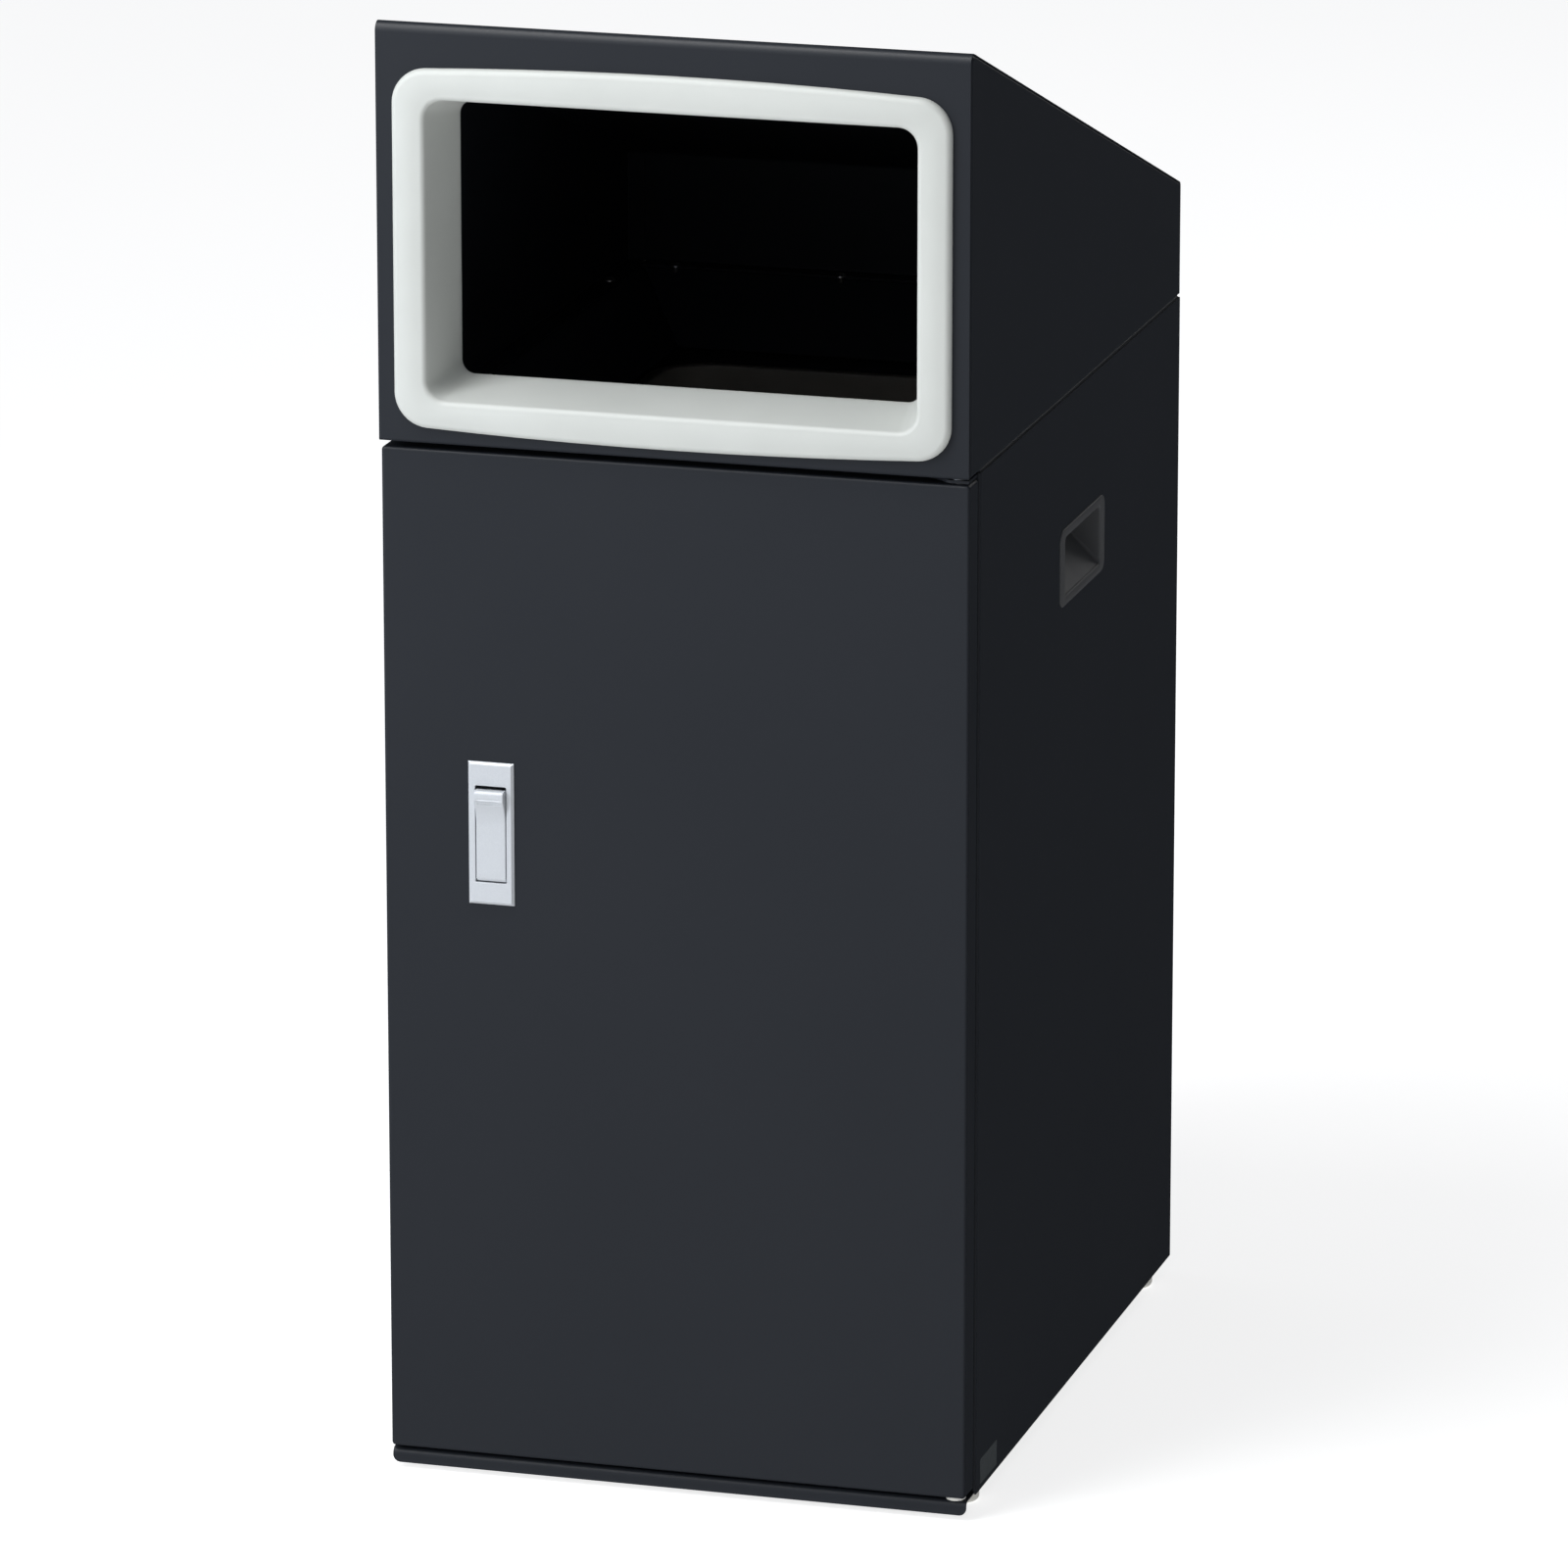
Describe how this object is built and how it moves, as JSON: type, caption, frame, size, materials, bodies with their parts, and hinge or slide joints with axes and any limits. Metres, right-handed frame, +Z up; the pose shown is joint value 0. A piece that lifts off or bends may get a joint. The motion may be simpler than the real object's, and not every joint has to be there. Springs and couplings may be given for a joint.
{
  "type": "litter cabinet",
  "caption": "Free-standing steel litter cabinet: sloped hood with a framed mouth over a loose pail, hinged front door with a flush lever latch, recessed carry handles and low glide feet.",
  "frame": {"origin": "on the floor, under the middle of the whole object's box", "axes": "+Z up, -Y towards the user in front of the door, +X towards the door's hinge side"},
  "size_m": [0.4024, 0.567, 0.9879],
  "materials": {
    "charcoal_paint": "fine-textured charcoal powder coat, satin",
    "pale_moulding": "pale grey-white moulded plastic, satin",
    "handle_moulding": "dark moulded plastic, fine grain",
    "pail_moulding": "smoky brown-grey moulded plastic",
    "white_nylon": "natural white nylon",
    "silver_casting": "silver-grey enamel on a die casting",
    "zinc_steel": "zinc-plated steel",
    "black_rubber": "soft black rubber",
    "grey_label": "plain grey film"
  },
  "bodies": {
    "cabinet": {"left_side_panel": "charcoal_paint", "right_side_panel": "charcoal_paint", "back_panel": "charcoal_paint", "base_pan": "charcoal_paint", "top_frame": "charcoal_paint", "hood_wrap": "charcoal_paint", "hood_left_cheek": "charcoal_paint", "hood_right_cheek": "charcoal_paint", "guide_left": "charcoal_paint", "guide_right": "charcoal_paint", "guide_front": "charcoal_paint", "guide_rear": "charcoal_paint", "upper_hinge_bracket": "charcoal_paint", "mouth_frame": "pale_moulding", "left_carry_handle": "handle_moulding", "right_carry_handle": "handle_moulding", "pail": "pail_moulding", "glide_feet": "white_nylon", "hinge_washer": "white_nylon", "hood_screws": "zinc_steel", "hood_nuts": "zinc_steel", "mouth_frame_screws": "zinc_steel", "foot_screws": "zinc_steel", "foot_nuts": "zinc_steel", "keeper_screws": "zinc_steel", "back_panel_rivets": "zinc_steel", "lower_hinge_pin": "zinc_steel", "upper_hinge_pin": "zinc_steel", "latch_keeper": "zinc_steel", "door_bumpers": "black_rubber", "blank_label": "grey_label"},
    "door": {"door_skin": "charcoal_paint", "door_stiffener": "charcoal_paint", "lower_door_hinge_plate": "charcoal_paint", "upper_door_hinge_plate": "charcoal_paint", "latch_bezel": "silver_casting", "lever_pin": "zinc_steel", "lever_return_spring": "zinc_steel", "latch_clamps": "zinc_steel", "latch_clamp_screws": "zinc_steel"},
    "latch_lever": {"latch_lever": "silver_casting"},
    "latch_bolt": {"latch_bolt": "zinc_steel"}
  },
  "joints": [
    {"name": "door_hinge", "type": "hinge", "parent": "cabinet", "child": "door", "pos_m": [0.1905, -0.2648, 0.36], "axis": [0, 0, 1], "range_deg": [0, 110]},
    {"name": "lever_pivot", "type": "hinge", "parent": "door", "child": "latch_lever", "pos_m": [-0.1252, -0.273, 0.4185], "axis": [1, 0, 0], "range_deg": [0, 30], "stiffness_Nm_per_rad": 0.15, "springref_deg": -17.19, "deforming": ["lever_return_spring"]},
    {"name": "bolt_slide", "type": "slide", "parent": "door", "child": "latch_bolt", "axis": [1, 0, 0], "range_m": [0, 0.0085]}
  ],
  "couplings": [
    {"joint": "bolt_slide", "follows": "lever_pivot", "m_per_rad": 0.015279}
  ]
}
